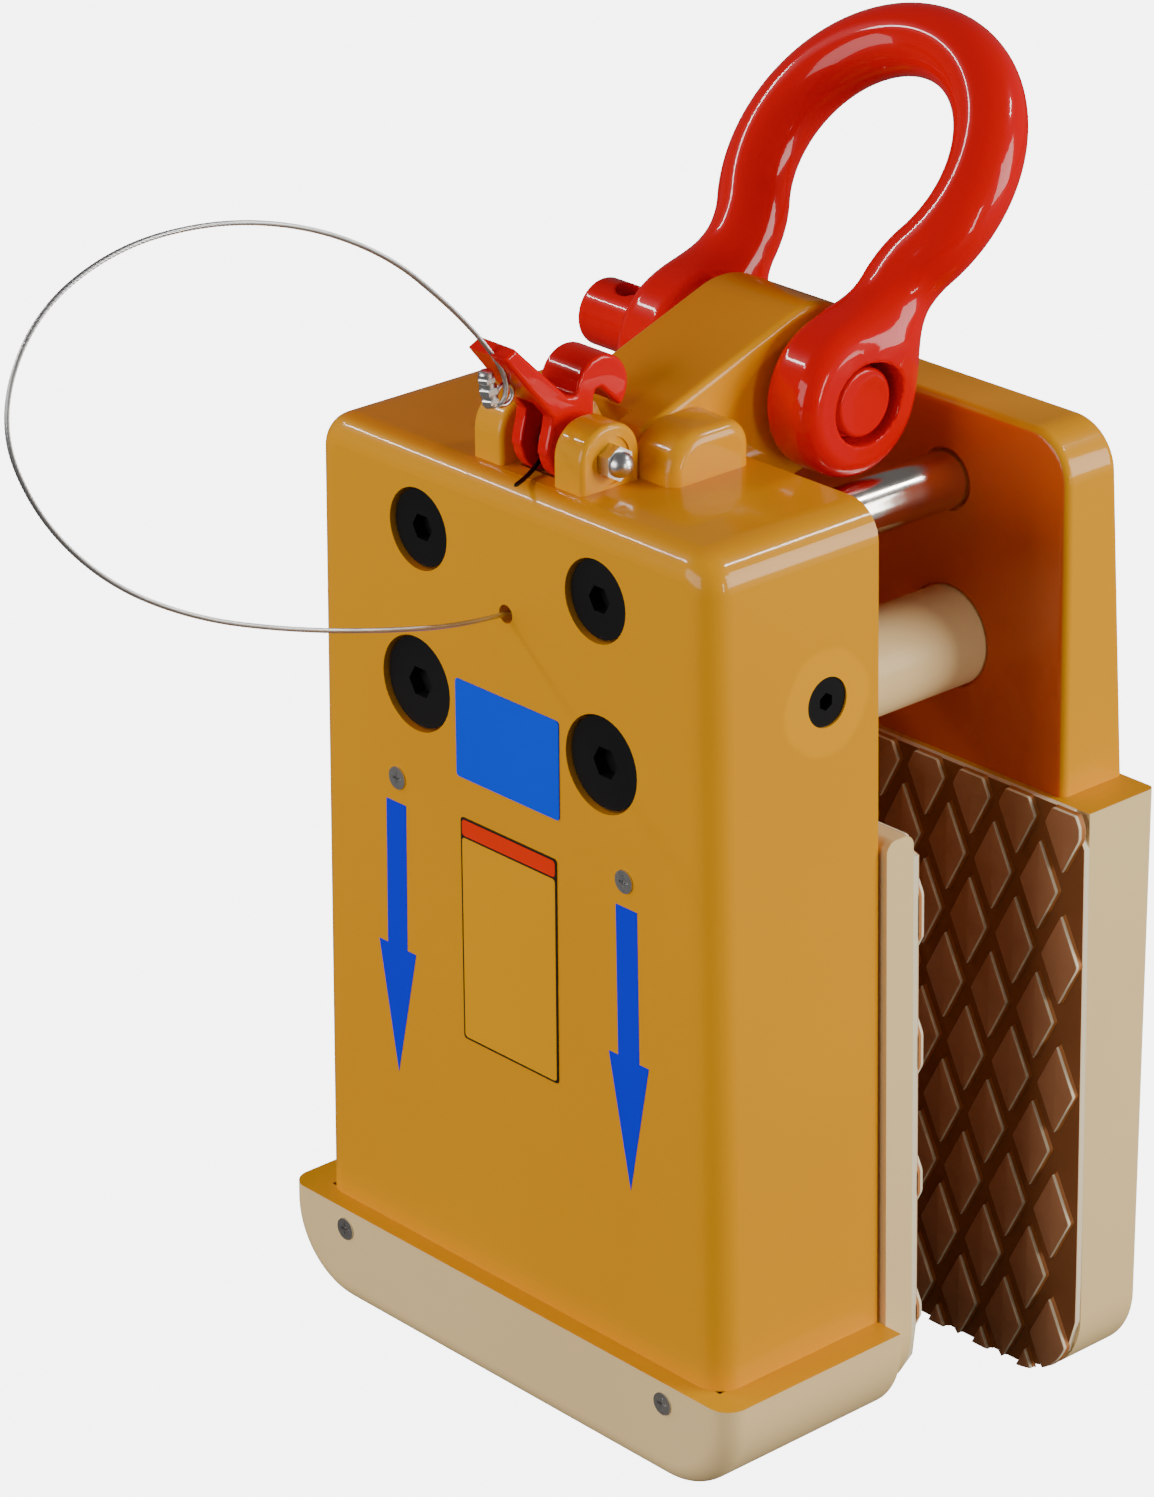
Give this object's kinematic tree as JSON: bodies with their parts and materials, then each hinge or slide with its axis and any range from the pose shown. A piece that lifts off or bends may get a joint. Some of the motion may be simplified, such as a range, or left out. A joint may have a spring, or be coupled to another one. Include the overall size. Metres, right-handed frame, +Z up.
{
  "type": "stone lifting clamp",
  "caption": "Vertical stone slab lifting clamp with a shackle, a sliding lug, a release hook on a cable, tie bars and two diamond-faced jaws.",
  "frame": {"origin": "centre of the rear jaw block's flat bottom face, on which the clamp stands", "axes": "+X across the clamp, +Y from the casing towards the rear jaw, +Z up towards the shackle"},
  "size_m": [0.2218, 0.3752, 0.4349],
  "materials": {
    "yellow_enamel": "gloss",
    "cream_enamel": "satin",
    "red_enamel": "gloss",
    "grip_pad": "matt",
    "bright_shaft": "polished",
    "plain_steel": "machined",
    "black_steel": "black oxide",
    "bright_screw": "zinc plated",
    "spring_wire": "dark oiled",
    "wire_rope": "bright strands"
  },
  "bodies": {
    "frame": {"casing": "yellow_enamel", "bottom_guard": "cream_enamel", "rear_plate": "yellow_enamel", "rear_jaw_block": "cream_enamel", "rear_pad": "grip_pad", "upper_tie_shafts": "bright_shaft", "lower_tie_rods": "plain_steel", "lower_sleeves": "cream_enamel", "upper_cap_screws": "black_steel", "lower_cap_screws": "black_steel", "rear_tie_screws": "black_steel", "front_screws": "bright_screw", "guard_screws": "bright_screw", "side_bolts": "black_steel", "guide_rails": "plain_steel", "latch_bolt": "bright_screw", "latch_nut": "bright_screw", "latch_spring": "spring_wire", "spring_spacer": "plain_steel", "release_cable": "wire_rope", "cable_ferrule": "bright_screw"},
    "lifting_lug": {"lifting_lug": "yellow_enamel", "cam_pin": "plain_steel"},
    "shackle": {"shackle_bow": "red_enamel", "shackle_pin": "red_enamel"},
    "latch_hook": {"latch_hook": "red_enamel", "cable_clip": "bright_screw"},
    "moving_jaw": {"moving_jaw": "cream_enamel", "moving_pad": "grip_pad", "jaw_carrier": "plain_steel", "guide_rollers": "plain_steel", "roller_axles": "plain_steel", "jaw_screws": "black_steel"}
  },
  "joints": [
    {"name": "lug_rise", "type": "slide", "parent": "frame", "child": "lifting_lug", "axis": [0, 0, 1], "range_m": [0, 0.052]},
    {"name": "jaw_slide", "type": "slide", "parent": "frame", "child": "moving_jaw", "axis": [0, 0.9545, -0.2983], "range_m": [0, 0.04191]},
    {"name": "shackle_swing", "type": "hinge", "parent": "lifting_lug", "child": "shackle", "pos_m": [0, -0.05135, 0.3335], "axis": [1, 0, 0], "range_deg": [-47, 97]},
    {"name": "latch_turn", "type": "hinge", "parent": "frame", "child": "latch_hook", "pos_m": [0, -0.13895, 0.332], "axis": [1, 0, 0], "range_deg": [0, 40], "stiffness_Nm_per_rad": 0.15, "springref_deg": -28.65, "deforming": ["latch_spring", "release_cable"]}
  ],
  "couplings": [
    {"joint": "jaw_slide", "follows": "lug_rise", "ratio": 0.8058}
  ]
}
